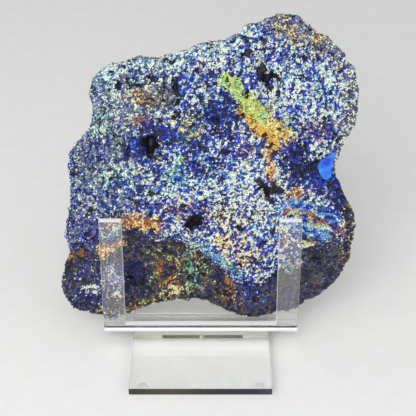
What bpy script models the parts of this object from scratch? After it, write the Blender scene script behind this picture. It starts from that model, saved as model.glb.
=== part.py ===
# An azurite and malachite slab leaning in a clear acrylic stand.
#
# The slab is modelled lying down: X runs across it, Y up its face and Z out of its front. It is then turned
# up and leans back on the stand's panel. The stand is a bent sheet with two arms, a flat base plate with a
# wedge seat, and four bumper feet. The front of the part faces -Y and it stands on z = 0.

import math

import bmesh
import bpy
from mathutils import Matrix, Vector, kdtree, noise

MM = 0.001
GAP = 0.3 * MM                       # air or glue line kept between touching pieces

# Stand: the middle line of the whole part lies left of the slab's own middle.
STAND_X = -3.7 * MM
SHEET = 4.0 * MM                     # acrylic sheet
CRADLE_WIDTH = 107.8 * MM
ARM_WIDTH = 12.0 * MM
ARM_TOP_Z = 80.6 * MM
ARM_LEAN = math.radians(3)
LIP_TOP_Z = 15.0 * MM                # front wall left between the arms
FRONT_BEND = Vector((-6.82 * MM, 10.53 * MM))   # y and z of the sheet's middle at the front bend
LEDGE_RUN = 16.3 * MM
LEDGE_FALL = math.radians(10)
PANEL_HEIGHT = 98.0 * MM             # along the leaning back panel
PANEL_CORNER = 6.0 * MM
BEND_RADIUS = 2.6 * MM               # at the middle of the sheet
BEND_STEPS = 6

BASE_WIDTH = 76.0 * MM
BASE_DEPTH = 102.5 * MM
BUMPER_TOP = 1.2 * MM
BUMPER_RADIUS = 2.8 * MM
BUMPER_X = 31.0 * MM                 # from the stand's middle
BUMPER_INSET = 5.0 * MM              # from the base plate's front and rear edges
SEAT_FRONT = -8.45 * MM
SEAT_FLAT = 4.2 * MM                 # level top of the wedge under the front bend
SEAT_DEPTH = 13.7 * MM

# Slab
LEAN = math.radians(15)
SLAB_BACK = 4.2 * MM                 # its flat back, behind the plane of its outline
SLAB_RISE = 1.15 * MM                # from the rear bend's middle up to the outline's zero line
FACE_SIZE = 3.6 * MM                 # faces of the rough surface
FACE_SMOOTHING = 0.4
BLANK_THICKNESS = 10.0 * MM
BLANK_ROUND = 4.0 * MM
SMOOTHING_LOSS = 0.6 * MM            # what evening the faces takes off the rim
EDGE_FRONT = 5.0 * MM                # front height at the rim
EDGE_RUN = 18.0 * MM                 # distance over which the front climbs from the rim
EDGE_RELIEF = 0.25                   # share of the relief that is left at the rim
RIM_SLOPE = 0.35                     # a face steeper than this belongs to the rim
CRUST = 7.6 * MM                     # front height of the plain crust
BACK_SCOOP = 1.6 * MM
BACK_WAVE = 17.0                     # mm from scoop to scoop
RAGGED = 0.8 * MM
RAGGED_WAVE = 9.0                    # mm

# The outline in millimetres, clockwise from the upper left corner: across, up the face.
OUTLINE = [
    (-52, 143), (-45, 146), (-34, 148), (-22, 148), (-11, 152), (2, 157), (16, 159.5), (23, 165),
    (36, 169.5), (50, 170), (62.5, 162), (74.5, 152), (81.5, 139), (84.5, 123), (80.5, 106),
    (74.5, 96), (73.5, 87), (79, 74), (84, 61), (85, 55), (83, 38), (77, 25), (68, 16), (54, 8.5),
    (42, 4.6), (34, 2.8), (25, 1.2), (18, 3.2), (13.5, 5.6), (10, 9), (0, 12.8), (-12, 12.7), (-24, 10.6),
    (-36, 7.2), (-42, 3.2), (-50, 0.8), (-61, 3.8), (-73, 8.6), (-77.6, 24), (-76, 34), (-73, 40),
    (-75, 48), (-74.5, 56), (-70.5, 69), (-70.5, 76), (-72.5, 89), (-72, 96), (-68, 103),
    (-60.5, 110), (-59, 122), (-57.5, 134),
]

# Rounded swellings and broad hollows of the front: across, up, half width, half height, turn, rise (mm, degrees).
SWELLS = {
    "upper right lobe": (58, 133, 30, 34, 0, 5.0),
    "upper left lobe": (-38, 126, 26, 24, 0, 2.6),
    "middle": (14, 80, 42, 32, -20, 4.6),
    "tongue over the ledge": (19, 44, 27, 17, -32, 3.0),
    "left flank": (-52, 84, 24, 26, 0, 1.8),
    "lower right lobe": (68, 42, 22, 28, 0, 3.6),
    "lower left lobe": (-62, 22, 19, 17, 0, 3.0),
    "blue hollow beside the ridge": (11, 116, 13, 15, 30, -3.4),
    "hollow inside the right notch": (59, 88, 12, 11, 0, -5.6),
    "dip in the left middle": (-22, 112, 16, 12, -20, -1.6),
}

# Holes in the front: across, up, half width, half height, turn, depth.
PITS = {
    "slot": (-14, 131, 4.2, 8, 0, 4.0),
    "oval pit": (-27, 102, 5.6, 6.6, -10, 5.5),
    "deep hole over the ledge": (-5, 55, 9.0, 5.4, 40, 7.0),
    "hollow over the left foot": (-36, 27, 6.0, 10.0, 10, 5.5),
    "split in the middle": (34, 77, 4.6, 6.4, 15, 3.4),
    "notch over the ridge": (35, 137, 5.0, 7.6, -35, 4.6),
    "right foot pit": (64, 35, 4.8, 4.4, 0, 2.4),
}

# The step across the lower face, and two long features of the upper right: across, up.
LEDGE_LINE = [(-90, 46), (-70, 47), (-47, 61), (-26, 54), (-6, 51), (8, 41), (22, 27), (34, 25), (47, 38), (56, 47), (95, 52)]
RIDGE_LINE = [(12, 140), (20, 132), (29, 123), (37, 116), (47, 107)]
VALLEY_LINE = [(19, 162), (29, 148), (37, 137), (41, 124), (49, 113), (58, 101), (68, 93)]
LEDGE_DROP = 6.6 * MM
LEDGE_STEP = 6.5                     # mm over which the step falls
LEDGE_RETURN = 42.0                  # mm below the step where the face is back out
LEDGE_KEPT = 0.3                     # share of the drop that stays at the bottom
RIDGE_RISE = 2.8 * MM
RIDGE_HALF = 8.0
VALLEY_DEPTH = 3.8 * MM
VALLEY_HALF = 8.0

# Lumps of the crust: wavelength in millimetres and height.
LUMPS = [(26.0, 1.5 * MM), (11.0, 1.0 * MM)]


def clear_scene():
    for old in list(bpy.data.objects):
        bpy.data.objects.remove(old, do_unlink=True)


def material(name, colour, roughness, transmission=0.0, ior=1.45):
    made = bpy.data.materials.new(name)
    made.use_nodes = True
    shader = made.node_tree.nodes["Principled BSDF"]
    shader.inputs["Base Color"].default_value = (*colour, 1.0)
    shader.inputs["Roughness"].default_value = roughness
    shader.inputs["Metallic"].default_value = 0.0
    shader.inputs["Transmission Weight"].default_value = transmission
    shader.inputs["IOR"].default_value = ior
    return made


def add_object(name, mesh, finish):
    mesh.materials.clear()
    mesh.materials.append(finish)
    obj = bpy.data.objects.new(name, mesh)
    bpy.context.scene.collection.objects.link(obj)
    return obj


def mesh_from(name, bm):
    bmesh.ops.recalc_face_normals(bm, faces=bm.faces)
    mesh = bpy.data.meshes.new(name)
    bm.to_mesh(mesh)
    bm.free()
    return mesh


def evaluated_mesh(obj):
    graph = bpy.context.evaluated_depsgraph_get()
    return bpy.data.meshes.new_from_object(obj.evaluated_get(graph), depsgraph=graph)


def smooth_step(x):
    x = min(max(x, 0.0), 1.0)
    return x * x * (3.0 - 2.0 * x)


def oval_share(u, v, u0, v0, half_u, half_v, turn):
    """1 in the middle of a turned oval, 0 at its rim and beyond."""
    c, s = math.cos(math.radians(turn)), math.sin(math.radians(turn))
    a = ((u - u0) * c + (v - v0) * s) / half_u
    b = (-(u - u0) * s + (v - v0) * c) / half_v
    return smooth_step(1.0 - math.hypot(a, b))


def line_distance(u, v, points):
    """Distance in mm from a point of the face to an open line."""
    here = Vector((u, v))
    best = 1e9
    for start, end in zip(points, points[1:]):
        a, b = Vector(start), Vector(end)
        along = (here - a).dot(b - a) / (b - a).length_squared
        best = min(best, (here - a.lerp(b, min(max(along, 0.0), 1.0))).length)
    return best


def ledge_height(u):
    for (u0, v0), (u1, v1) in zip(LEDGE_LINE, LEDGE_LINE[1:]):
        if u <= u1:
            return v0 + (v1 - v0) * (u - u0) / (u1 - u0)
    return LEDGE_LINE[-1][1]


def front_relief(u, v):
    """Height of the front over the outline's plane, for a place in mm on the face."""
    height = CRUST
    for u0, v0, half_u, half_v, turn, rise in SWELLS.values():
        height += rise * MM * oval_share(u, v, u0, v0, half_u, half_v, turn)
    below = ledge_height(u) - v
    face_back = LEDGE_KEPT + (1.0 - LEDGE_KEPT) * (1.0 - smooth_step(below / LEDGE_RETURN))
    height -= LEDGE_DROP * smooth_step(below / LEDGE_STEP) * face_back
    height += RIDGE_RISE * smooth_step(1.0 - line_distance(u, v, RIDGE_LINE) / RIDGE_HALF)
    height -= VALLEY_DEPTH * smooth_step(1.0 - line_distance(u, v, VALLEY_LINE) / VALLEY_HALF)
    for wavelength, rise in LUMPS:
        height += rise * noise.noise(Vector((u, v, wavelength)) / wavelength)
    for u0, v0, half_u, half_v, turn, depth in PITS.values():
        height -= depth * MM * oval_share(u, v, u0, v0, half_u, half_v, turn)
    return height


def slab_blank():
    """A flat slab with the outline's shape and rounded rims, as a mesh of even small faces."""
    outline = bpy.data.curves.new("outline", "CURVE")
    outline.dimensions = "2D"
    outline.fill_mode = "BOTH"
    outline.resolution_u = 5
    outline.extrude = BLANK_THICKNESS / 2 - BLANK_ROUND
    outline.bevel_depth = BLANK_ROUND
    outline.bevel_resolution = 3
    outline.offset = SMOOTHING_LOSS - BLANK_ROUND
    spline = outline.splines.new("BEZIER")
    spline.bezier_points.add(len(OUTLINE) - 1)
    for point, (u, v) in zip(spline.bezier_points, OUTLINE):
        point.co = (u * MM, v * MM, 0.0)
        point.handle_left_type = point.handle_right_type = "AUTO"
    spline.use_cyclic_u = True
    pattern = bpy.data.objects.new("outline", outline)
    bpy.context.scene.collection.objects.link(pattern)
    solid = bpy.data.objects.new("blank", evaluated_mesh(pattern))
    bpy.context.scene.collection.objects.link(solid)
    remesh = solid.modifiers.new("even faces", "REMESH")
    remesh.mode = "VOXEL"
    remesh.voxel_size = FACE_SIZE
    blank = evaluated_mesh(solid)
    for helper in (pattern, solid):
        bpy.data.objects.remove(helper, do_unlink=True)
    return blank


def rim_points(blank):
    """A search tree of the blank's widest points, which lie halfway through its thickness."""
    rim = [v.co for v in blank.vertices if abs(v.normal.z) < RIM_SLOPE]
    tree = kdtree.KDTree(len(rim))
    for index, place in enumerate(rim):
        tree.insert((place.x, place.y, 0.0), index)
    tree.balance()
    return tree


def make_slab(finish):
    blank = slab_blank()
    rim = rim_points(blank)
    bm = bmesh.new()
    bm.from_mesh(blank)
    bmesh.ops.smooth_vert(bm, verts=bm.verts, factor=FACE_SMOOTHING, use_axis_z=True)
    half = max(v.co.z for v in bm.verts)
    for vert in bm.verts:
        across, up, level = vert.co
        u, v = across / MM, up / MM
        inward = rim.find((across, up, 0.0))[2]
        share = (level + half) / (2 * half)
        climb = smooth_step(inward / EDGE_RUN)
        relief = front_relief(u, v) - EDGE_FRONT
        front = EDGE_FRONT + relief * (EDGE_RELIEF + (1.0 - EDGE_RELIEF) * climb)
        scoop = noise.noise(Vector((u, v, 0.0)) / BACK_WAVE)
        back = -SLAB_BACK + BACK_SCOOP * smooth_step(0.3 + scoop)
        ragged = noise.noise_vector(Vector((u, v, level / MM)) / RAGGED_WAVE) * RAGGED
        vert.co = (across + ragged.x, up + ragged.y, back + share * (front - back))
    bmesh.ops.triangulate(bm, faces=bm.faces)
    slab = add_object("slab", mesh_from("slab", bm), finish)
    slab.data.shade_smooth()
    up_panel = Vector((0.0, math.sin(LEAN), math.cos(LEAN)))
    out_of_panel = Vector((0.0, -math.cos(LEAN), math.sin(LEAN)))
    corner = rear_bend()
    place = Vector((STAND_X, corner.x, corner.y)) + SLAB_RISE * up_panel
    slab.location = place + (SHEET / 2 + GAP + SLAB_BACK) * out_of_panel
    slab.rotation_euler = (math.pi / 2 - LEAN, 0.0, 0.0)
    return slab


def rear_bend():
    """y and z of the sheet's middle where the ledge turns up into the back panel."""
    return FRONT_BEND + LEDGE_RUN * Vector((math.cos(LEDGE_FALL), -math.sin(LEDGE_FALL)))


def make_cradle(finish):
    """One sheet, bent twice: front wall with two arms, sloping ledge, leaning back panel."""
    arm = Vector((math.sin(ARM_LEAN), math.cos(ARM_LEAN))) * ((ARM_TOP_Z - FRONT_BEND.y) / math.cos(ARM_LEAN))
    panel = Vector((math.sin(LEAN), math.cos(LEAN))) * PANEL_HEIGHT
    line = [FRONT_BEND + arm, FRONT_BEND, rear_bend(), rear_bend() + panel]
    bm = bmesh.new()
    left = STAND_X - CRADLE_WIDTH / 2
    row = [bm.verts.new((left, y, z)) for y, z in line]
    edges = [bm.edges.new(pair) for pair in zip(row, row[1:])]
    swept = bmesh.ops.extrude_edge_only(bm, edges=edges)["geom"]
    far = [v for v in swept if isinstance(v, bmesh.types.BMVert)]
    bmesh.ops.translate(bm, verts=far, vec=(CRADLE_WIDTH, 0.0, 0.0))
    folds = [e for e in bm.edges if len(e.link_faces) == 2]
    bmesh.ops.bevel(bm, geom=folds, offset=BEND_RADIUS, segments=BEND_STEPS, profile=0.5, affect="EDGES")
    top = max(v.co.z for v in bm.verts)
    corners = [v for v in bm.verts if v.co.z > top - GAP]
    bmesh.ops.bevel(bm, geom=corners, offset=PANEL_CORNER, segments=4, profile=0.5, affect="VERTICES")
    bmesh.ops.recalc_face_normals(bm, faces=bm.faces)
    mesh = bpy.data.meshes.new("cradle")
    bm.to_mesh(mesh)
    bm.free()
    cradle = add_object("cradle", mesh, finish)
    thicken = cradle.modifiers.new("sheet", "SOLIDIFY")
    thicken.thickness = SHEET
    thicken.offset = 0.0
    thicken.use_even_offset = True
    cut = cradle.modifiers.new("gap between the arms", "BOOLEAN")
    cut.operation = "DIFFERENCE"
    cut.solver = "EXACT"
    cut.object = arm_gap_cutter()
    return cradle


def arm_gap_cutter():
    """The block that is cut from the front wall, from over the lip to past the arms' tops."""
    bm = bmesh.new()
    bmesh.ops.create_cube(bm, size=1.0)
    height = ARM_TOP_Z + SHEET - LIP_TOP_Z
    depth = 4 * SHEET
    bmesh.ops.scale(bm, verts=bm.verts, vec=(CRADLE_WIDTH - 2 * ARM_WIDTH, depth, height))
    slant = Matrix.Shear("XZ", 4, (0.0, math.tan(ARM_LEAN)))
    bmesh.ops.transform(bm, matrix=slant, verts=bm.verts)
    middle_z = LIP_TOP_Z + height / 2
    middle_y = FRONT_BEND.x + (middle_z - FRONT_BEND.y) * math.tan(ARM_LEAN)
    bmesh.ops.translate(bm, verts=bm.verts, vec=(STAND_X, middle_y, middle_z))
    mesh = mesh_from("arm gap", bm)
    cutter = bpy.data.objects.new("arm_gap_cutter", mesh)
    bpy.context.scene.collection.objects.link(cutter)
    cutter.hide_render = True
    cutter.display_type = "WIRE"
    return cutter


def make_base_plate(finish):
    """The flat plate with the low wedge that the ledge sits on, as one extruded side view."""
    under = BUMPER_TOP + GAP
    top = under + SHEET
    front, rear = -BASE_DEPTH / 2, BASE_DEPTH / 2
    ledge_under = FRONT_BEND.y - SHEET / 2 / math.cos(LEDGE_FALL) - GAP

    def wedge_top(y):
        return ledge_under - (y - FRONT_BEND.x) * math.tan(LEDGE_FALL)

    level_end = SEAT_FRONT + SEAT_FLAT
    seat_end = SEAT_FRONT + SEAT_DEPTH
    side = [
        (front, under), (rear, under), (rear, top), (seat_end, top), (seat_end, wedge_top(seat_end)),
        (level_end, wedge_top(level_end)), (SEAT_FRONT, wedge_top(level_end)), (SEAT_FRONT, top), (front, top),
    ]
    bm = bmesh.new()
    face = bm.faces.new([bm.verts.new((STAND_X - BASE_WIDTH / 2, y, z)) for y, z in side])
    swept = bmesh.ops.extrude_face_region(bm, geom=[face])["geom"]
    far = [v for v in swept if isinstance(v, bmesh.types.BMVert)]
    bmesh.ops.translate(bm, verts=far, vec=(BASE_WIDTH, 0.0, 0.0))
    corners = [
        e for e in bm.edges
        if all(abs(abs(v.co.y) - rear) < GAP for v in e.verts) and abs(e.verts[0].co.z - e.verts[1].co.z) > GAP
    ]
    bmesh.ops.bevel(bm, geom=corners, offset=1.2 * MM, segments=3, profile=0.5, affect="EDGES")
    return add_object("base_plate", mesh_from("base plate", bm), finish)


def make_bumpers(finish):
    places = [
        (side * BUMPER_X, end * (BASE_DEPTH / 2 - BUMPER_INSET), name)
        for end, word in ((-1, "front"), (1, "rear"))
        for side, name in ((-1, f"bumper_{word}_left"), (1, f"bumper_{word}_right"))
    ]
    for x, y, name in places:
        bm = bmesh.new()
        bmesh.ops.create_cone(
            bm, cap_ends=True, cap_tris=False, segments=20,
            radius1=BUMPER_RADIUS * 0.86, radius2=BUMPER_RADIUS, depth=BUMPER_TOP,
        )
        bumper = add_object(name, mesh_from(name, bm), finish)
        bumper.location = (STAND_X + x, y, BUMPER_TOP / 2)


def main():
    clear_scene()
    noise.seed_set(7)
    stone = material("azurite and malachite", (0.07, 0.11, 0.35), 0.75)
    acrylic = material("clear acrylic", (0.95, 0.97, 0.96), 0.03, transmission=1.0, ior=1.49)
    soft_clear = material("clear soft plastic", (0.9, 0.9, 0.88), 0.25, transmission=0.8, ior=1.45)
    make_slab(stone)
    make_cradle(acrylic)
    make_base_plate(acrylic)
    make_bumpers(soft_clear)


main()
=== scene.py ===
# Looks of an azurite and malachite slab in its clear acrylic stand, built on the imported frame.
import math

import bmesh
import bpy
import numpy as np
from mathutils import Matrix, Vector, bvhtree, noise


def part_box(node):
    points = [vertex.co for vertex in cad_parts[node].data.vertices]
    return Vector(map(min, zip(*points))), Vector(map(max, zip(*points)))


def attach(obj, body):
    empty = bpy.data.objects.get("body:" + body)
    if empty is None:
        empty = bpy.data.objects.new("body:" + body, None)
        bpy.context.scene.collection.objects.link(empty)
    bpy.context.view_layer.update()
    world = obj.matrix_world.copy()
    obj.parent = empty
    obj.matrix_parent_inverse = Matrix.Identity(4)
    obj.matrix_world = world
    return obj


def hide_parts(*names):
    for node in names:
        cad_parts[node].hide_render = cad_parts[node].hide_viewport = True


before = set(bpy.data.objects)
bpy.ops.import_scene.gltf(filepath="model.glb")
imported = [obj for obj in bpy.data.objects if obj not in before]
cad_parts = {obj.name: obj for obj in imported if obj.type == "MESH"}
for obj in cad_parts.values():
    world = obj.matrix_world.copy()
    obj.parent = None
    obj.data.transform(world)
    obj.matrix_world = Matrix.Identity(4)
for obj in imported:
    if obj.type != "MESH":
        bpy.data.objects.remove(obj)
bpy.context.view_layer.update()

mm = 0.001
noise.seed_set(7)        # or the noise would start from the clock
bpy.context.scene.view_settings.view_transform = "Standard"
bpy.context.scene.cycles.blur_glossy = 0.0        # or the floor under the clear plate goes dark

# The slab's own frame, in mm: u across its face, v up its face, w out of its face.
slabFoot = Vector((-3.7, 3.25, 10.49))
slabLean = 15.0
slabToWorld = Matrix.Translation(slabFoot * mm) @ Matrix.Rotation(math.radians(90 - slabLean), 4, "X")
worldToSlab = slabToWorld.inverted()


def fromScreen(red, green, blue):
    # a screen colour, 0 to 255, as the linear colour that a shader takes
    parts = [c / 255 for c in (red, green, blue)]
    return tuple(c / 12.92 if c < 0.04045 else ((c + 0.055) / 1.055) ** 2.4 for c in parts) + (1.0,)


def linkObject(name, mesh, *finishes):
    piece = bpy.data.objects.new(name, mesh)
    bpy.context.scene.collection.objects.link(piece)
    if mesh.materials:
        mesh.materials.clear()
    for finish in finishes:
        mesh.materials.append(finish)
    return piece


def meshFrom(name, bm):
    bmesh.ops.recalc_face_normals(bm, faces=bm.faces)
    mesh = bpy.data.meshes.new(name)
    bm.to_mesh(mesh)
    bm.free()
    return mesh


def bakedMesh(piece):
    # the mesh with its modifiers applied
    graph = bpy.context.evaluated_depsgraph_get()
    return bpy.data.meshes.new_from_object(piece.evaluated_get(graph), depsgraph=graph)


def smoothStep(x):
    x = np.clip(x, 0.0, 1.0)
    return x * x * (3.0 - 2.0 * x)


# Minerals of the crust, as screen colours; the first, near black, is no mineral but painted shade in
# the gaps between grains.
minerals = {
    "gapShade": (5, 6, 18),
    "navy": (14, 22, 92),
    "azurite": (22, 56, 210),
    "dusty": (112, 122, 152),
    "sky": (92, 166, 230),
    "brown": (74, 74, 56),
    "rust": (170, 96, 52),
    "ochre": (236, 178, 60),
    "mint": (108, 196, 162),
    "lime": (188, 220, 104),
    "cream": (248, 236, 176),
    "pale": (240, 250, 228),
}

# What the crust is made of in each kind of place: shares that are made to add up to one. The near-black
# share is painted shade between the grains, not a mineral.
mixes = {
    "vivid": {"gapShade": 12, "navy": 18, "azurite": 24, "sky": 10, "pale": 24, "cream": 6, "rust": 3,
              "mint": 4},
    "dull": {"gapShade": 12, "navy": 21, "azurite": 8, "dusty": 38, "sky": 4, "brown": 9, "mint": 5,
             "cream": 2, "pale": 7},
    "paleDull": {"gapShade": 7, "navy": 10, "azurite": 5, "dusty": 36, "sky": 8, "brown": 8, "mint": 6,
                 "cream": 7, "pale": 23},
    "paleRim": {"gapShade": 5, "navy": 9, "sky": 24, "pale": 36, "dusty": 20, "mint": 6},
    "tan": {"gapShade": 5, "dusty": 24, "brown": 26, "cream": 28, "rust": 17},
    "greyBrown": {"gapShade": 14, "brown": 42, "dusty": 26, "cream": 10, "navy": 8},
    "rustSpecks": {"gapShade": 14, "navy": 24, "azurite": 18, "rust": 32, "ochre": 10, "cream": 6},
    "creamSpeckle": {"gapShade": 20, "navy": 16, "azurite": 10, "brown": 18, "cream": 18, "lime": 8,
                     "mint": 10, "rust": 6},
    "paleNavy": {"gapShade": 3, "navy": 9, "azurite": 10, "sky": 18, "dusty": 8, "pale": 44, "cream": 3,
                 "mint": 4, "ochre": 1},
    "deepBlue": {"gapShade": 38, "navy": 34, "azurite": 24, "sky": 1, "mint": 2, "pale": 1},
    "azureBand": {"gapShade": 17, "navy": 20, "azurite": 25, "sky": 7, "mint": 8, "pale": 10,
                  "cream": 8, "brown": 7},
    "mintSpeckle": {"gapShade": 8, "navy": 10, "azurite": 6, "mint": 30, "pale": 32, "lime": 10, "dusty": 6},
    "limeRidge": {"gapShade": 4, "lime": 64, "mint": 12, "cream": 12, "ochre": 8},
    "orangeRidge": {"gapShade": 8, "ochre": 60, "rust": 20, "lime": 6, "cream": 6},
    "streak": {"gapShade": 10, "navy": 18, "azurite": 6, "rust": 34, "ochre": 24, "cream": 8},
    "lobe": {"gapShade": 7, "navy": 10, "azurite": 20, "sky": 15, "pale": 35, "mint": 7, "cream": 5,
             "ochre": 1},
    "margin": {"gapShade": 6, "navy": 8, "azurite": 5, "dusty": 36, "brown": 12, "pale": 25, "cream": 8},
    "cap": {"gapShade": 4, "navy": 5, "dusty": 32, "brown": 19, "cream": 22, "rust": 10, "sky": 8},
    "mottled": {"gapShade": 12, "navy": 26, "azurite": 16, "dusty": 16, "rust": 20, "cream": 10},
    "hollow": {"gapShade": 46, "navy": 32, "azurite": 18, "dusty": 4},
    "white": {"gapShade": 5, "navy": 7, "azurite": 16, "sky": 9, "pale": 48, "cream": 12, "mint": 3},
    "mintBand": {"gapShade": 15, "navy": 18, "azurite": 19, "sky": 8, "mint": 18, "pale": 22},
    "orangeSpecks": {"gapShade": 14, "navy": 20, "azurite": 25, "ochre": 16, "rust": 12, "pale": 10,
                     "mint": 3},
    "rustBand": {"gapShade": 7, "brown": 8, "rust": 43, "ochre": 16, "cream": 26},
    "creamLens": {"gapShade": 15, "navy": 19, "azurite": 16, "cream": 24, "pale": 14, "ochre": 9, "rust": 3},
    "shade": {"gapShade": 44, "navy": 20, "brown": 31, "rust": 2, "dusty": 3},
    "earth": {"gapShade": 36, "brown": 32, "rust": 10, "lime": 6, "cream": 5, "mint": 4, "navy": 7},
    "creamEarth": {"gapShade": 14, "brown": 18, "rust": 16, "cream": 40, "lime": 4, "pale": 8},
    "rustEarth": {"gapShade": 18, "brown": 38, "rust": 26, "ochre": 8, "navy": 10},
    "footBlue": {"gapShade": 28, "navy": 38, "azurite": 10, "brown": 16, "dusty": 4, "pale": 4},
    "palePatch": {"gapShade": 10, "navy": 24, "pale": 44, "cream": 14, "dusty": 8},
    "skyStripe": {"navy": 10, "azurite": 26, "sky": 40, "mint": 10, "pale": 14},
    "mintStripe": {"azurite": 16, "mint": 40, "cream": 34, "ochre": 10},
    "rustStripe": {"gapShade": 6, "navy": 18, "rust": 52, "ochre": 12, "azurite": 12},
    "slate": {"gapShade": 30, "navy": 28, "brown": 32, "dusty": 8, "rust": 2},
    "glint": {"gapShade": 26, "navy": 24, "brown": 36, "cream": 8, "rust": 4},
    # painted shade: the near-black mix that fills the holes, for the shade inside them
    "hole": {"gapShade": 92, "navy": 8},
    "vein": {"navy": 20, "mint": 36, "sky": 30, "pale": 14},
    "yellowRidge": {"gapShade": 8, "lime": 34, "ochre": 42, "cream": 14, "navy": 2},
    "tanSpeckle": {"gapShade": 10, "navy": 12, "azurite": 12, "brown": 14, "rust": 10, "cream": 26,
                   "pale": 14},
    "creamSpot": {"gapShade": 6, "navy": 8, "cream": 60, "pale": 16, "ochre": 8},
    "tealStreak": {"gapShade": 30, "mint": 26, "brown": 26, "navy": 12},
    "slateBlue": {"gapShade": 17, "navy": 26, "azurite": 9, "dusty": 36, "brown": 8, "pale": 4},
    "paleMint": {"gapShade": 9, "navy": 16, "azurite": 11, "mint": 18, "pale": 22, "dusty": 16, "cream": 8},
    # painted shade: a near-black mix for the dark pits
    "darkHoleShade": {"gapShade": 56, "navy": 44},
    "stripeBase": {"gapShade": 4, "navy": 10, "azurite": 12, "dusty": 24, "sky": 13, "rust": 8,
                   "cream": 14, "pale": 15},
    "matrix": {"gapShade": 8, "brown": 44, "dusty": 20, "cream": 8, "rust": 12, "navy": 6, "mint": 2},
    "blueStain": {"gapShade": 8, "navy": 26, "azurite": 22, "dusty": 20, "sky": 6, "brown": 14, "pale": 4},
    "greenStain": {"gapShade": 8, "mint": 22, "lime": 8, "brown": 28, "dusty": 18, "cream": 12, "navy": 4},
}

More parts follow.
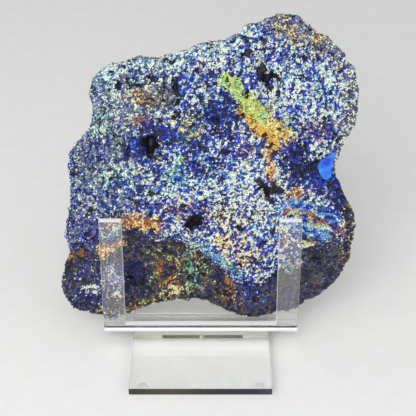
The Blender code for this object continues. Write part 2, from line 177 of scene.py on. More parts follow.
# Where each mix lies, painted one over the other. An oval is across, up, half width, half height, turn;
# a line has its points and its half width, and below is all that lies under the ledge. soft is the
# share of the way in over which a zone fades in.
zones = [
    ("dull", {"oval": (-54, 96, 34, 66, 0)}),
    ("paleDull", {"oval": (-38, 130, 30, 30, 0)}),
    ("paleRim", {"line": [(-57, 138), (-46, 144), (-31, 147), (-11, 150)], "half": 7}),
    ("paleMint", {"oval": (-46, 85, 15, 9, 10)}),
    ("paleMint", {"oval": (-56, 112, 8, 10, 0)}),
    ("tan", {"oval": (-30, 129, 10, 8, 0)}),
    ("greyBrown", {"oval": (-20, 129, 10, 11, 0)}),
    ("rustSpecks", {"oval": (-31, 115, 9, 6, 0)}),
    ("paleNavy", {"line": [(-12, 149), (4, 153), (20, 160)], "half": 11}),
    ("deepBlue", {"oval": (9, 119, 16, 16, 0)}),
    ("deepBlue", {"line": [(-34, 103), (-22, 108), (-12, 104)], "half": 9}),
    ("azureBand", {"oval": (-10, 97, 20, 10, -20)}),
    ("creamSpeckle", {"oval": (-5.6, 112, 10, 12, 0)}),
    ("deepBlue", {"oval": (-6, 91, 11, 7, -10)}),
    ("white", {"oval": (27, 76, 22, 26, -20)}),
    ("lobe", {"line": [(-24, 79), (-2, 79), (22, 84)], "half": 8}),
    ("mintBand", {"oval": (-14, 86, 13, 8, 0)}),
    ("paleMint", {"oval": (-11, 94, 6, 5, 0)}),
    ("paleMint", {"oval": (3, 131, 9, 7, 0)}),
    ("orangeSpecks", {"oval": (-9, 66, 21, 9, 0)}),
    ("tanSpeckle", {"oval": (14, 64, 12, 8, 0)}),
    ("lobe", {"oval": (58, 134, 28, 32, 0)}),
    ("white", {"oval": (45, 128, 9, 13, 0)}),
    ("mintSpeckle", {"oval": (12, 139, 6, 5, 0)}),
    ("orangeRidge", {"line": [(22.5, 122), (27.3, 116), (32.7, 110.8), (38, 106.5), (43, 103)],
                     "half": 5.4}),
    ("yellowRidge", {"line": [(26, 125.2), (32.4, 118.8), (38.9, 112.9), (45.3, 107)], "half": 6.4}),
    ("limeRidge", {"line": [(14, 137.5), (17.5, 135), (22, 130), (28, 123.5), (32, 120)], "half": 5.6}),
    ("orangeRidge", {"line": [(41, 108), (47, 104.5)], "half": 4.4}),
    ("orangeSpecks", {"line": [(46, 104), (53, 98)], "half": 5}),
    ("orangeSpecks", {"oval": (23, 100, 8, 6, 0)}),
    ("streak", {"line": [(37, 102.5), (37.2, 95)], "half": 3.4}),
    ("streak", {"line": [(37.5, 91), (37.8, 84)], "half": 3.8}),
    ("margin", {"line": [(70, 154), (80, 141), (84, 123), (80, 106), (75, 95)], "half": 11}),
    ("cap", {"line": [(42, 166), (50, 163), (62, 158)], "half": 10}),
    ("mottled", {"oval": (63, 111, 15, 10, 0)}),
    # the groove right of the ridge: navy and azurite, with a large share of painted shade for the
    # hollow
    ("hollow", {"line": [(50, 96), (52, 88), (60, 88), (70, 80), (79, 72)], "half": 10}),
    # painted shade: the holes here are painted near black
    ("hole", {"line": [(32, 141.5), (36, 134)], "half": 3.0, "soft": 0.3}),
    ("hole", {"line": [(36, 134), (39, 141)], "half": 2.0, "soft": 0.3}),
    ("rustBand", {"oval": (51.6, 75.5, 8, 4.5, 0)}),
    ("rustBand", {"line": [(-48, 59), (-36, 60), (-25, 57.5)], "half": 6.5}),
    ("creamLens", {"oval": (22, 43, 22, 12, -32)}),
    ("creamSpot", {"oval": (10.5, 50, 7, 5, 0)}),
    ("shade", {"below": "ledge"}),
    ("slateBlue", {"line": [(-78, 66), (-68, 57), (-56, 52)], "half": 13}),
    ("slateBlue", {"oval": (-70, 46, 10, 7, 0)}),
    ("earth", {"oval": (-12, 31, 27, 18, 0)}),
    ("tealStreak", {"line": [(-7, 35), (-2, 23)], "half": 3.5}),
    ("creamEarth", {"oval": (-14, 19, 10, 6, 10)}),
    ("rustEarth", {"line": [(-22, 34), (-18, 25)], "half": 4}),
    ("rustEarth", {"oval": (17, 19, 12, 9, -30)}),
    ("footBlue", {"oval": (-62, 22, 20, 20, 0)}),
    ("footBlue", {"oval": (28, 18, 12, 12, -20)}),
    ("rustEarth", {"oval": (-69, 38, 9, 6, 0)}),
    ("palePatch", {"oval": (-61, 20.5, 8, 4.5, 0)}),
    ("earth", {"line": [(-44, 6), (-34, 10), (-22, 13), (-8, 13)], "half": 4}),
    # painted shade: the pit low on the left is painted near black
    ("darkHoleShade", {"oval": (-37.5, 28, 9.5, 13.5, 10), "soft": 0.5}),
    ("rustBand", {"line": [(-54, 41.7), (-49, 43.5), (-44, 47)], "half": 4.5}),
    ("paleDull", {"line": [(-53, 53), (-45.5, 54.6)], "half": 4}),
    ("stripeBase", {"oval": (-49, 28, 9, 9, 0)}),
    ("palePatch", {"line": [(-50, 18.6), (-46, 17.7)], "half": 2.6}),
    ("creamSpeckle", {"line": [(-54, 8), (-49, 6), (-44, 6.5)], "half": 5}),
    ("slate", {"oval": (68, 34, 24, 30, 0)}),
    ("glint", {"line": [(80, 66), (84, 54), (84, 42)], "half": 9}),
    ("stripeBase", {"oval": (60, 64, 20, 12, -15)}),
    ("skyStripe", {"line": [(44, 66), (53, 69), (63, 67), (73, 62)], "half": 4}),
    ("rustStripe", {"line": [(46, 65), (57, 64), (68, 59), (77, 55)], "half": 2.4}),
    ("mintStripe", {"line": [(49, 64), (57, 61), (66, 56)], "half": 2.2}),
    ("skyStripe", {"line": [(44, 60), (55, 58), (68, 52)], "half": 3.5}),
    ("creamLens", {"oval": (57, 47, 7, 3, 0)}),
    ("palePatch", {"line": [(43, 57), (47, 54)], "half": 3.4}),
    ("creamLens", {"line": [(44, 47), (49, 49)], "half": 4.6}),
    ("stripeBase", {"oval": (48.5, 36, 8, 7, 0)}),
    ("mintSpeckle", {"line": [(46.5, 33.4), (48, 29.5)], "half": 2}),
    # painted shade: these holes and pits are painted near black
    ("hole", {"oval": (64, 38, 3.6, 2.8, 0), "soft": 0.3}),
    ("hole", {"oval": (-27, 102.5, 5.6, 7.2, -10), "soft": 0.4}),
    ("hole", {"line": [(-13.4, 136.5), (-13.2, 131)], "half": 2.4, "soft": 0.3}),
    ("hole", {"oval": (-13, 126, 2.4, 2.6, 0), "soft": 0.3}),
    ("hole", {"line": [(-6.5, 56), (-1, 61.5)], "half": 3.8, "soft": 0.3}),
    ("hole", {"line": [(31, 83), (35, 79), (37, 73)], "half": 2.2, "soft": 0.3}),
    ("hole", {"line": [(35, 79), (44, 77)], "half": 1.8, "soft": 0.3}),
    ("darkHoleShade", {"oval": (8, 115, 3.6, 4.4, 0), "soft": 0.4}),
    ("darkHoleShade", {"oval": (-43, 135, 2.6, 2.6, 0), "soft": 0.4}),
    ("darkHoleShade", {"oval": (-33, 134, 2.6, 2.6, 0), "soft": 0.4}),
    ("darkHoleShade", {"oval": (-38, 99, 2.4, 6, 0), "soft": 0.4}),
    ("azureBand", {"line": [(-4, 43), (4, 42), (12, 34), (21, 26)], "half": 4}),
    ("vein", {"line": [(-6, 46), (2.4, 45.3), (9.5, 39.6), (17, 32), (22, 28)], "half": 2.4}),
]

# The edge of the ledge that runs across the face, across and up.
ledgeLine = [
    (-90, 46), (-70, 47), (-47, 61), (-26, 54), (-6, 51), (8, 41),
    (22, 27), (34, 25), (47, 38), (56, 47), (95, 52),
]
ledgeFade = 7.0        # mm over which the shade under the ledge sets in

crust = {
    "voxel": 0.83,                                   # mm
    "grain": [(1.3, 1.0), (2.6, 0.4)],               # wavelength in mm and weight
    "grainRise": 1.0,                                # mm from the gaps to the tops
    "lumps": [(15.0, 1.6), (6.0, 0.8)],              # wavelength and height in mm
    "creases": [(11.0, 2.0), (5.0, 1.0)],
    "pits": [                                        # an oval and its depth in mm
        ((-43, 135, 2.2, 2.2, 0), 2.0), ((-33, 134, 2.2, 2.2, 0), 2.0), ((-38, 99, 1.9, 5.0, 0), 2.2),
        ((8, 115, 2.4, 2.6, 0), 1.8), ((57, 48, 2.6, 2.4, 0), 2.0), ((64, 36, 3.4, 2.6, 0), 2.6),
        ((-13.4, 135, 2.4, 5.0, 0), 3.0), ((-13, 126, 2.2, 3.0, 0), 2.4),
        ((-27, 102, 4.8, 6.4, -10), 3.6), ((-3.8, 58.8, 7.2, 3.6, 43), 4.5),
        ((35, 138, 3.2, 7.0, -35), 3.0), ((34, 77, 3.0, 5.6, 15), 3.0), ((-39, 22, 3.6, 8.0, 12), 3.0),
    ],
    "streaks": [                                     # oval, direction in degrees, how many times longer
        {"oval": (-30, 34, 34, 26, 0), "run": -28, "long": 2.6},
        {"oval": (6, 22, 26, 18, 0), "run": -38, "long": 2.4},
        {"oval": (62, 58, 28, 20, 0), "run": -22, "long": 3.0},
        {"oval": (66, 28, 28, 24, 0), "run": 24, "long": 2.4},
        {"oval": (-64, 26, 20, 24, 0), "run": 8, "long": 2.0},
        {"oval": (-18, 64, 36, 10, 0), "run": -8, "long": 1.8},
    ],
    "patches": [(3.2, 1.5), (9.0, 1.1)],             # wavelength in mm, and how strong
    "stains": [                                      # on the back: mix, wavelength and shift in mm
        ("blueStain", 24.0, 90.0), ("greenStain", 15.0, 140.0),
    ],
    "speckWave": 4.2,                                # small pits all over the face, sunk and darkened with painted shade
    "speckLevel": 0.36,
    "speckDepth": 1.1,
    "rimLoss": 1.1,                                  # mm that the rim gives up to its own grains
    "lowRims": [((46, 167, 26, 16, 0), 1.8)],        # an oval, and by how much more
    "heldRise": 0.15,                                # mm, the most where the slab rests
    "heldBack": (2.0, 1.5),                          # mm behind the middle, and the fade
    "heldFoot": (6.0, 3.0),                          # mm above the foot, and the fade
    "ragged": [(6.0, 2.6), (2.4, 1.3)],              # wavelength and reach in mm of the zones' wander
    "calmPlaces": [(68, 32, 22, 28, 0)],             # ovals where the stone is smoother
    "calmGrain": 0.6,                                # how much of each is lost there
    "calmLumps": 0.5,
    "calmCover": 0.55,
    "backCover": 0.14,                               # the share of loose grains that the back keeps
    "behind": (1.4, 2.4),                            # mm where the back's look sets in, and its fade
    "pitAndHollowShade": (1.4, 0.3, 0.85),                      # mm of depth, and how dark the painted shade in hollows and specks goes
}


def slabPlaces(mesh):
    # the mesh's points in the slab's own frame, in mm
    flat = np.empty(len(mesh.vertices) * 3)
    mesh.vertices.foreach_get("co", flat)
    turn = np.array(worldToSlab.to_3x3())
    return (flat.reshape(-1, 3) @ turn.T + np.array(worldToSlab.translation)) / mm


def ovalShare(u, v, place, soft=1.0):
    u0, v0, halfU, halfV, turn = place
    c = math.cos(math.radians(turn))
    s = math.sin(math.radians(turn))
    a = ((u - u0) * c + (v - v0) * s) / halfU
    b = (-(u - u0) * s + (v - v0) * c) / halfV
    return np.clip((1.0 - np.hypot(a, b)) / soft, 0.0, 1.0)


def lineShare(u, v, points, half, soft):
    nearest = np.full(len(u), 1e9)
    for (u0, v0), (u1, v1) in zip(points, points[1:]):
        du = u1 - u0
        dv = v1 - v0
        along = np.clip(((u - u0) * du + (v - v0) * dv) / (du * du + dv * dv), 0.0, 1.0)
        nearest = np.minimum(nearest, np.hypot(u - u0 - along * du, v - v0 - along * dv))
    return np.clip((1.0 - nearest / half) / soft, 0.0, 1.0)


def noiseAt(places, wave):
    return np.array([noise.noise(Vector(p) / wave) for p in places])


def streaked(places):
    # the places drawn together along each streak's run, so that the grain there grows long
    u, v, w = places.T
    drawn = places.copy()
    for streak in crust["streaks"]:
        share = smoothStep(ovalShare(u, v, streak["oval"], 0.6)) * (1.0 - 1.0 / streak["long"])
        angle = math.radians(streak["run"])
        run = np.array([math.cos(angle), math.sin(angle), 0.0])
        middle = np.array([streak["oval"][0], streak["oval"][1], 0.0])
        along = (places - middle) @ run
        drawn = drawn - (along * share)[:, None] * run
    return drawn


def zoneShare(u, v, place):
    soft = place.get("soft", 0.7)
    if "oval" in place:
        return ovalShare(u, v, place["oval"], soft)
    if "line" in place:
        return lineShare(u, v, place["line"], place["half"], soft)
    ledge = np.interp(u, [p[0] for p in ledgeLine], [p[1] for p in ledgeLine])
    return smoothStep((ledge - v) / ledgeFade)


def storeValues(mesh, name, values):
    stored = mesh.attributes.new(name, "FLOAT", "POINT")
    stored.data.foreach_set("value", values.astype(np.float32))


def makeCrust():
    bm = bmesh.new()
    bm.from_mesh(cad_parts["slab"].data)
    bmesh.ops.remove_doubles(bm, verts=bm.verts, dist=1e-6)
    rough = linkObject("roughSlab", meshFrom("roughSlab", bm))
    rounded = rough.modifiers.new("rounded", "SUBSURF")
    rounded.levels = rounded.render_levels = 1
    even = rough.modifiers.new("even", "REMESH")
    even.mode = "VOXEL"
    even.voxel_size = crust["voxel"] * mm
    mesh = bakedMesh(rough)
    bpy.data.objects.remove(rough)
    places = slabPlaces(mesh)
    u, v, w = places.T
    normals = np.empty(len(mesh.vertices) * 3)
    mesh.vertices.foreach_get("normal", normals)
    normals = normals.reshape(-1, 3) @ np.array(worldToSlab.to_3x3()).T
    calm = np.zeros(len(u))
    for place in crust["calmPlaces"]:
        calm = np.maximum(calm, smoothStep(ovalShare(u, v, place, 0.5)))
    # how high each place stands in the crust's fine grain, 0 in the gaps to 1 on the tops
    drawn = streaked(places)
    field = sum(part * noiseAt(drawn, wave) for wave, part in crust["grain"])
    pick = np.argsort(np.argsort(field)) / len(field)
    height = (pick - 0.5) * crust["grainRise"] * (1.0 - crust["calmGrain"] * calm)
    for wave, rise in crust["lumps"]:
        height += rise * noiseAt(places, wave) * (1.0 - crust["calmLumps"] * calm)
    for wave, rise in crust["creases"]:
        folds = np.abs(noiseAt(places, wave))
        height += rise * (folds - folds.mean())
    facing = smoothStep(normals[:, 2] * 2.0) * smoothStep(w / 3.0)
    specks = smoothStep((noiseAt(places + 40.0, crust["speckWave"]) - crust["speckLevel"]) * 8.0)
    specks *= facing * (1.0 - calm)
    height -= crust["speckDepth"] * specks
    rim = 1.0 - smoothStep(np.abs(normals[:, 2]) * 1.5)
    height -= crust["rimLoss"] * rim
    for place, loss in crust["lowRims"]:
        height -= loss * rim * smoothStep(ovalShare(u, v, place, 0.5))
    # the back and the foot stay inside the solid, where the slab rests in the stand
    back, backFade = crust["heldBack"]
    foot, footFade = crust["heldFoot"]
    held = np.maximum(smoothStep((-w - back) / backFade), smoothStep((foot - v) / footFade))
    height = np.where(held > 0.5, np.minimum(height, crust["heldRise"]), height)
    moved = places + normals * height[:, None]
    for place, depth in crust["pits"]:
        moved[:, 2] -= depth * facing * smoothStep(ovalShare(u, v, place) * 1.3)
    turn = np.array(slabToWorld.to_3x3())
    world = (moved * mm) @ turn.T + np.array(slabToWorld.translation)
    mesh.vertices.foreach_set("co", world.ravel())
    tops = np.cumsum(mineralShares(places, normals, height, specks), axis=1)
    for index, name in enumerate(minerals):
        storeValues(mesh, "upTo_" + name, tops[:, index])
    storeValues(mesh, "pick", pick)
    toFront = crust["backCover"] + (1.0 - crust["backCover"]) * smoothStep(w / 3.0 + 0.6)
    fullness = (1.0 - crust["calmCover"] * calm) * toFront
    for name, place in zones:
        if name == "hole":
            fullness *= 1.0 - zoneShare(u, v, place)
    storeValues(mesh, "cover", fullness * grains["perSquare"] / mm ** 2)
    mesh.update()
    mesh.shade_smooth()
    return mesh


def mineralShares(places, normals, height, specks):
    u, v, w = places.T
    wander = sum(
        reach * np.array([noise.noise_vector(Vector(p) / wave) for p in places])
        for wave, reach in crust["ragged"]
    )
    across = u + wander[:, 0]
    up = v + wander[:, 1]

    def row(name):
        parts = np.array([mixes[name].get(mineral, 0.0) for mineral in minerals])
        return parts / parts.sum()

    shares = np.tile(row("vivid"), (len(u), 1))
    for name, place in zones:
        shares += zoneShare(across, up, place)[:, None] * (row(name) - shares)
    setIn, fade = crust["behind"]
    behind = np.maximum(smoothStep((-setIn - w) / fade), smoothStep(-normals[:, 2] * 2.0))
    shares += behind[:, None] * (row("matrix") - shares)
    for name, wave, shift in crust["stains"]:
        stained = behind * smoothStep(noiseAt(places + shift, wave) * 5.0 - 0.6)
        shares += stained[:, None] * (row(name) - shares)
    for index in range(len(minerals)):
        for wave, strength in crust["patches"]:
            shares[:, index] *= np.exp(strength * noiseAt(places + 31.0 * (index + 1), wave))
    shares /= shares.sum(axis=1)[:, None]
    # painted shade: hollows and the small pits are darkened towards the near-black hole mix, for the
    # shade that falls in them
    depth, hollowDark, speckDark = crust["pitAndHollowShade"]
    pitAndHollowShade = np.maximum(smoothStep(-height / depth) * hollowDark, specks * speckDark)
    shares += pitAndHollowShade[:, None] * (row("hole") - shares)
    return shares


def addNode(tree, kind, label=""):
    node = tree.nodes.new(kind)
    node.label = label
    return node


def newMaterial(name):
    made = bpy.data.materials.new(name)
    made.use_nodes = True
    return made, made.node_tree, made.node_tree.nodes["Principled BSDF"]


def mathNode(tree, operation, first, second):
    node = addNode(tree, "ShaderNodeMath")
    node.operation = operation
    for socket, value in zip(node.inputs, (first, second)):
        if isinstance(value, (int, float)):
            socket.default_value = value
        else:
            tree.links.new(value, socket)
    return node.outputs["Value"]


def mixColours(tree, factor, first, second, blend="MIX"):
    node = addNode(tree, "ShaderNodeMix")
    node.data_type = "RGBA"
    node.blend_type = blend
    for socket, value in zip((node.inputs[0], node.inputs[6], node.inputs[7]), (factor, first, second)):
        if isinstance(value, (int, float, tuple)):
            socket.default_value = value
        else:
            tree.links.new(value, socket)
    return node.outputs[2]


crustLook = {
    "cell": 0.66,                    # mm, as are wobble, warp and bump
    "wobble": 1.1,
    "warp": 0.3,
    "spread": 0.84,                  # how far a cell strays from the mineral of its place
    "brightness": (0.22, 1.12),
    "roughness": (0.42, 0.78),
    "bump": 0.18,
    "bumpStrength": 0.7,
}


def crustMaterial():
    # each cell of the crust takes one mineral, by its own random number and the shares of the place;
    # the near-black cells are painted shade between the grains
    made, tree, shader = newMaterial("mineral crust")
    coords = addNode(tree, "ShaderNodeTexCoord")
    wobble = addNode(tree, "ShaderNodeTexNoise", "cell edges")
    wobble.inputs["Scale"].default_value = 1 / (crustLook["wobble"] * mm)
    wobble.inputs["Detail"].default_value = 2.0
    tree.links.new(coords.outputs["Object"], wobble.inputs["Vector"])
    centred = addNode(tree, "ShaderNodeVectorMath")
    centred.operation = "SUBTRACT"
    centred.inputs[1].default_value = (0.5, 0.5, 0.5)
    tree.links.new(wobble.outputs["Color"], centred.inputs[0])
    warped = addNode(tree, "ShaderNodeVectorMath")
    warped.operation = "MULTIPLY_ADD"
    warped.inputs[1].default_value = (crustLook["warp"] * mm * 2,) * 3
    tree.links.new(centred.outputs[0], warped.inputs[0])
    tree.links.new(coords.outputs["Object"], warped.inputs[2])
    cells = addNode(tree, "ShaderNodeTexVoronoi", "grains")
    cells.inputs["Scale"].default_value = 1 / (crustLook["cell"] * mm)
    tree.links.new(warped.outputs[0], cells.inputs["Vector"])
    chance = addNode(tree, "ShaderNodeSeparateColor")
    tree.links.new(cells.outputs["Color"], chance.inputs["Color"])
    level = addNode(tree, "ShaderNodeAttribute", "height in the crust")
    level.attribute_name = "pick"
    spread = mathNode(tree, "MULTIPLY_ADD", chance.outputs["Red"], crustLook["spread"])
    spread.node.inputs[2].default_value = -crustLook["spread"] / 2
    picked = mathNode(tree, "PINGPONG", mathNode(tree, "ADD", spread, level.outputs["Fac"]), 1.0)
    names = list(minerals)
    colour = fromScreen(*minerals[names[0]])
    for before, name in zip(names, names[1:]):
        top = addNode(tree, "ShaderNodeAttribute", name)
        top.attribute_name = "upTo_" + before
        past = mathNode(tree, "GREATER_THAN", picked, top.outputs["Fac"])
        colour = mixColours(tree, past, colour, fromScreen(*minerals[name]))
    shadeRange = addNode(tree, "ShaderNodeMapRange", "cell brightness")
    shadeRange.inputs["To Min"].default_value = crustLook["brightness"][0]
    shadeRange.inputs["To Max"].default_value = crustLook["brightness"][1]
    tree.links.new(chance.outputs["Green"], shadeRange.inputs["Value"])
    bright = addNode(tree, "ShaderNodeVectorMath")
    bright.operation = "SCALE"
    tree.links.new(colour, bright.inputs[0])
    tree.links.new(shadeRange.outputs["Result"], bright.inputs["Scale"])
    tree.links.new(bright.outputs[0], shader.inputs["Base Color"])
    polish = addNode(tree, "ShaderNodeMapRange", "polish")
    polish.inputs["To Min"].default_value = crustLook["roughness"][0]
    polish.inputs["To Max"].default_value = crustLook["roughness"][1]
    tree.links.new(chance.outputs["Blue"], polish.inputs["Value"])
    tree.links.new(polish.outputs["Result"], shader.inputs["Roughness"])
    bump = addNode(tree, "ShaderNodeBump")
    bump.invert = True
    bump.inputs["Strength"].default_value = crustLook["bumpStrength"]
    bump.inputs["Distance"].default_value = crustLook["bump"] * mm
    tree.links.new(cells.outputs["Distance"], bump.inputs["Height"])
    tree.links.new(bump.outputs["Normal"], shader.inputs["Normal"])
    return made


# Grains that stand on the crust, one piece for each mineral.
grains = {
    "perSquare": 1.6,                # grains to each square mm
    "spread": 0.8,                   # how far a grain strays from the mineral of its place
    "seed": 11,
    "scales": (0.45, 1.5),           # the smallest and the largest, against the kind's size
    "dent": 0.16,
    "roughness": {"crystal": 0.38, "chip": 0.62},
    "kinds": {                       # mineral, shape, size in mm, darkest and lightest screen colour
        "navyCrystals": ("navy", "crystal", 0.68, (8, 14, 62), (32, 48, 136)),
        "azuriteCrystals": ("azurite", "crystal", 0.72, (14, 36, 150), (44, 92, 236)),
        "skyGrains": ("sky", "chip", 0.62, (64, 120, 206), (160, 200, 236)),
        "dustyGrains": ("dusty", "chip", 0.62, (82, 92, 128), (158, 166, 190)),
        "brownGrains": ("brown", "chip", 0.62, (44, 42, 36), (112, 102, 80)),
        "rustGrains": ("rust", "chip", 0.62, (120, 66, 38), (204, 128, 76)),
        "ochreGrains": ("ochre", "chip", 0.66, (214, 138, 34), (255, 208, 92)),
        "creamGrains": ("cream", "chip", 0.64, (226, 204, 128), (255, 250, 214)),
        "limeGrains": ("lime", "chip", 0.62, (148, 190, 76), (226, 244, 138)),
        "malachiteGrains": ("mint", "chip", 0.62, (44, 150, 120), (150, 222, 190)),
        "paleGrains": ("pale", "chip", 0.64, (204, 230, 210), (255, 255, 244)),
    },
}


def grainMaterial(name, low, high, roughness):
    made, tree, shader = newMaterial(name)
    island = addNode(tree, "ShaderNodeNewGeometry")
    ramp = addNode(tree, "ShaderNodeValToRGB", "each grain's shade")
    ramp.color_ramp.elements[0].color = fromScreen(*low)
    ramp.color_ramp.elements[1].color = fromScreen(*high)
    tree.links.new(island.outputs["Random Per Island"], ramp.inputs["Fac"])
    coords = addNode(tree, "ShaderNodeTexCoord")
    flecks = addNode(tree, "ShaderNodeTexNoise", "flecks")
    flecks.inputs["Scale"].default_value = 1 / (0.5 * mm)
    tree.links.new(coords.outputs["Object"], flecks.inputs["Vector"])
    dulled = mixColours(tree, 0.2, ramp.outputs["Color"], flecks.outputs["Color"], "MULTIPLY")
    tree.links.new(dulled, shader.inputs["Base Color"])
    shader.inputs["Roughness"].default_value = roughness
    return made


def grainShape(shape):
    bm = bmesh.new()
    if shape == "crystal":
        bmesh.ops.create_cone(bm, cap_ends=True, segments=5, radius1=0.62, radius2=0.34, depth=1.5)
    else:
        bmesh.ops.create_icosphere(bm, subdivisions=1, radius=0.66)
    for vert in bm.verts:
        vert.co += grains["dent"] * noise.noise_vector(vert.co * 3.0)
    return linkObject("grainShape_" + shape, meshFrom("grainShape_" + shape, bm))


def scatterTree(shape, size, below, upTo):
    # points on the crust, those whose random number falls to this mineral, and a turned grain on each
    tree = bpy.data.node_groups.new("scatter", "GeometryNodeTree")
    tree.interface.new_socket("Geometry", in_out="INPUT", socket_type="NodeSocketGeometry")
    tree.interface.new_socket("Geometry", in_out="OUTPUT", socket_type="NodeSocketGeometry")
    start = addNode(tree, "NodeGroupInput")
    end = addNode(tree, "NodeGroupOutput")

    def attribute(name):
        node = addNode(tree, "GeometryNodeInputNamedAttribute")
        node.inputs["Name"].default_value = name
        return node.outputs["Attribute"]

    def random(low, high, seed, kind="FLOAT"):
        node = addNode(tree, "FunctionNodeRandomValue")
        node.data_type = kind
        first = 0 if kind == "FLOAT_VECTOR" else 2
        node.inputs[first].default_value = low
        node.inputs[first + 1].default_value = high
        node.inputs["Seed"].default_value = seed
        return node.outputs[0 if kind == "FLOAT_VECTOR" else 1]

    points = addNode(tree, "GeometryNodeDistributePointsOnFaces")
    points.inputs["Seed"].default_value = grains["seed"]
    tree.links.new(start.outputs[0], points.inputs["Mesh"])
    tree.links.new(attribute("cover"), points.inputs["Density"])
    stray = random(-grains["spread"] / 2, grains["spread"] / 2, grains["seed"] + 1)
    chance = mathNode(tree, "PINGPONG", mathNode(tree, "ADD", stray, attribute("pick")), 1.0)
    under = mathNode(tree, "LESS_THAN", chance, attribute(upTo))
    over = mathNode(tree, "GREATER_THAN", chance, attribute(below))
    chosen = mathNode(tree, "MULTIPLY", under, over)
    placed = addNode(tree, "GeometryNodeInstanceOnPoints")
    tree.links.new(points.outputs["Points"], placed.inputs["Points"])
    tree.links.new(chosen, placed.inputs["Selection"])
    source = addNode(tree, "GeometryNodeObjectInfo")
    source.inputs["Object"].default_value = shape
    tree.links.new(source.outputs["Geometry"], placed.inputs["Instance"])
    turned = random((0.0, 0.0, 0.0), (math.tau, math.tau, math.tau), grains["seed"] + 2, "FLOAT_VECTOR")
    tree.links.new(turned, placed.inputs["Rotation"])
    least, most = (size * mm * share for share in grains["scales"])
    scaled = random((least,) * 3, (most,) * 3, grains["seed"] + 3, "FLOAT_VECTOR")
    tree.links.new(scaled, placed.inputs["Scale"])
    real = addNode(tree, "GeometryNodeRealizeInstances")
    tree.links.new(placed.outputs["Instances"], real.inputs["Geometry"])
    tree.links.new(real.outputs["Geometry"], end.inputs[0])
    return tree


def makeGrains(crustMesh):
    shapes = {shape: grainShape(shape) for shape in ("crystal", "chip")}
    order = list(minerals)
    for name, (mineral, shape, size, low, high) in grains["kinds"].items():
        base = linkObject("scatterBase", crustMesh.copy())
        scatter = base.modifiers.new("scatter", "NODES")
        before = order[order.index(mineral) - 1]
        scatter.node_group = scatterTree(shapes[shape], size, "upTo_" + before, "upTo_" + mineral)
        mesh = bakedMesh(base)
        bpy.data.objects.remove(base)
        for attribute in [a.name for a in mesh.attributes]:
            if attribute.startswith("upTo_") or attribute in ("cover", "pick"):
                mesh.attributes.remove(mesh.attributes[attribute])
        piece = linkObject(name, mesh, grainMaterial(name, low, high, grains["roughness"][shape]))
        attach(piece, "root")
        print(name, len(mesh.polygons), "faces")
    for helper in shapes.values():
        bpy.data.objects.remove(helper)


# A flat chip of bright azurite that lies on the crust above the right notch.
chip = {
    "outline": [
        (63, 91), (64, 87), (66, 83.6), (68.4, 83), (70.4, 85), (71, 88.5),
        (71.4, 92.5), (72.8, 99.4), (70, 97.6), (67.2, 95.2), (64.6, 94.2),
    ],
    "thick": 1.8,
    "edge": 0.5,
    "sunk": 0.2,
    "clouds": 4.0,                   # mm
    "tones": ((12, 46, 186), (44, 148, 238)),
}


def makeChip(crustMesh):
    middleU = sum(p[0] for p in chip["outline"]) / len(chip["outline"])
    middleV = sum(p[1] for p in chip["outline"]) / len(chip["outline"])
    tree = bvhtree.BVHTree.FromPolygons(
        [v.co for v in crustMesh.vertices], [p.vertices for p in crustMesh.polygons])
    outward = slabToWorld.to_3x3() @ Vector((0, 0, 1))

    def surface(u, v):
        start = slabToWorld @ (Vector((u, v, 60)) * mm)
        hit = tree.ray_cast(start, -outward)[0]
        return (worldToSlab @ hit).z / mm

    halfway = [surface((u + middleU) / 2, (v + middleV) / 2) for u, v in chip["outline"]]
    level = max(halfway) - chip["sunk"]
    slope = (surface(middleU + 2, middleV) - surface(middleU - 2, middleV)) / 4
    bm = bmesh.new()
    corners = [(u, v, level + slope * (u - middleU)) for u, v in chip["outline"]]
    face = bm.faces.new([bm.verts.new(corner) for corner in corners])
    grown = bmesh.ops.extrude_face_region(bm, geom=[face])["geom"]
    top = [g for g in grown if isinstance(g, bmesh.types.BMVert)]
    bmesh.ops.translate(bm, verts=top, vec=(0, 0, chip["thick"]))
    rim = [e for e in bm.edges if all(v in top for v in e.verts)]
    bmesh.ops.bevel(
        bm, geom=rim, offset=chip["edge"], segments=3, profile=0.5, affect="EDGES", material=-1,
    )
    bmesh.ops.scale(bm, verts=bm.verts, vec=(mm, mm, mm))
    bmesh.ops.transform(bm, verts=bm.verts, matrix=slabToWorld)
    piece = linkObject("azuriteChip", meshFrom("azuriteChip", bm), chipMaterial())
    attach(piece, "root")


def chipMaterial():
    made, tree, shader = newMaterial("azurite chip")
    coords = addNode(tree, "ShaderNodeTexCoord")
    clouds = addNode(tree, "ShaderNodeTexNoise", "clouds")
    clouds.inputs["Scale"].default_value = 1 / (chip["clouds"] * mm)
    clouds.inputs["Detail"].default_value = 5.0
    tree.links.new(coords.outputs["Object"], clouds.inputs["Vector"])
    ramp = addNode(tree, "ShaderNodeValToRGB")
    ramp.color_ramp.elements[0].position = 0.35
    ramp.color_ramp.elements[0].color = fromScreen(*chip["tones"][0])
    ramp.color_ramp.elements[1].position = 0.72
    ramp.color_ramp.elements[1].color = fromScreen(*chip["tones"][1])
    tree.links.new(clouds.outputs["Fac"], ramp.inputs["Fac"])
    tree.links.new(ramp.outputs["Color"], shader.inputs["Base Color"])
    shader.inputs["Roughness"].default_value = 0.42
    return made


# The stand, in mm. Its sheet's middle line is seen from the side: across the depth, up.
stand = {
    "middle": -3.7,
    "sheet": 4.0,
    "width": 107.8,
    "arm": 12.0,
    "line": [(-3.15, 80.6), (-6.59, 15.0), (-6.82, 10.53), (9.23, 7.70), (34.6, 102.36)],
    "bendRadius": 2.6,
    "bendSteps": 14,
    "panelCorner": 6.0,
    "edge": 0.35,
}


# Faint rubbed marks that dull the acrylic: how fine along each axis, how turned, where they show.
rubbed = {"fine": (60.0, 300.0, 900.0), "turn": (0.2, 0.5, 0.3), "shows": (0.4, 0.75)}


